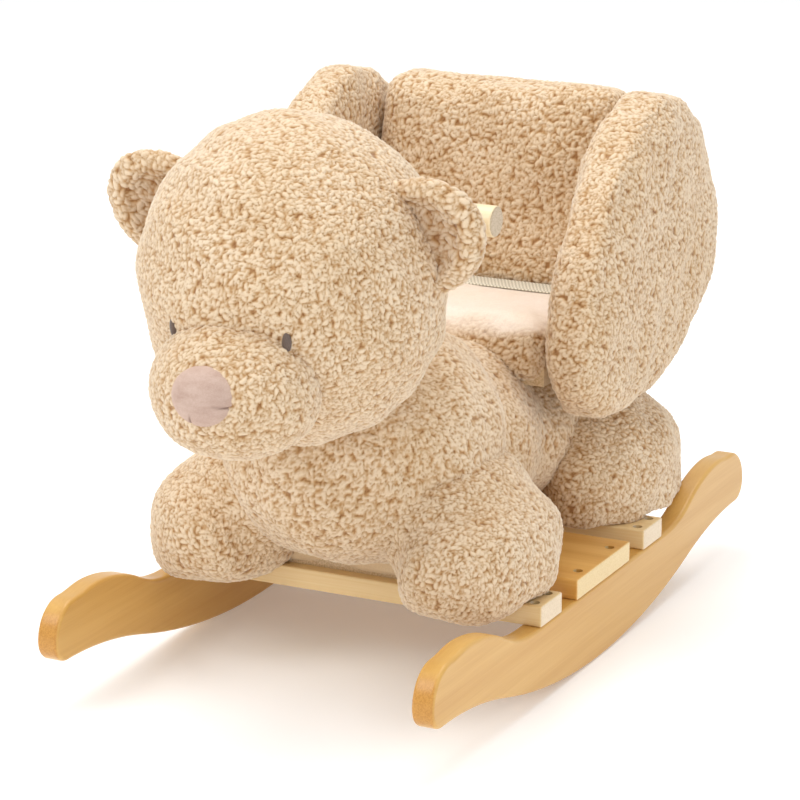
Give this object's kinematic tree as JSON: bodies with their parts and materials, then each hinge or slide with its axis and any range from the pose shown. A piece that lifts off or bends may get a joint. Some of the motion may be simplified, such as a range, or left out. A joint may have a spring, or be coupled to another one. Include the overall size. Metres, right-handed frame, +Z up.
{
  "type": "plush bear rocker",
  "caption": "Ride-on plush bear on wooden rockers, with a padded seat between side wings, a dowel handle behind the head and a lap belt with a side-release buckle.",
  "frame": {"origin": "on the floor midway between the rockers, under the middle of their arc, where they touch the floor at rest", "axes": "+Y from the bear's nose to its rear, so the bear faces -Y; +X to the bear's left; +Z up"},
  "size_m": [0.336, 0.6765, 0.4649],
  "materials": {
    "rocker_wood": "clear satin lacquer on solid light wood",
    "slat_wood": "clear satin lacquer on solid light wood",
    "plywood": "bare plywood",
    "handle_wood": "clear satin lacquer on a turned dowel",
    "screw_steel": "zinc plated",
    "plush": "curly pile plush",
    "seat_fabric": "short smooth pile on top, curly pile at the front",
    "nose_fabric": "short smooth pile",
    "eye_thread": "satin stitch embroidery",
    "webbing": "woven herringbone webbing",
    "buckle_plastic": "moulded"
  },
  "bodies": {
    "bear_rocker": {"back_board": "plywood", "back_cushion": "plush", "base_board": "plywood", "base_screws": "screw_steel", "belt_long": "webbing", "belt_screws": "screw_steel", "belt_short": "webbing", "body": "plush", "buckle_housing": "buckle_plastic", "centre_board": "slat_wood", "ear_left": "plush", "ear_right": "plush", "eye_left": "eye_thread", "eye_right": "eye_thread", "front_bulkhead": "plywood", "front_leg_left": "plush", "front_leg_right": "plush", "front_slat": "slat_wood", "handle": "handle_wood", "head": "plush", "muzzle": "plush", "neck_post": "slat_wood", "nose": "nose_fabric", "rear_bulkhead": "plywood", "rear_leg_left": "plush", "rear_leg_right": "plush", "rear_slat": "slat_wood", "rocker_left": "rocker_wood", "rocker_right": "rocker_wood", "seat_board": "plywood", "seat_cushion": "seat_fabric", "slat_screws": "screw_steel", "wing_board_left": "plywood", "wing_board_right": "plywood", "wing_cushion_left": "plush", "wing_cushion_right": "plush", "wing_screws": "screw_steel"},
    "belt_tongue": {"buckle_tongue": "buckle_plastic"}
  },
  "joints": [
    {"name": "buckle_release", "type": "slide", "parent": "bear_rocker", "child": "belt_tongue", "axis": [-1, 0, 0], "range_m": [0, 0.024], "deforming": ["belt_short"]}
  ]
}
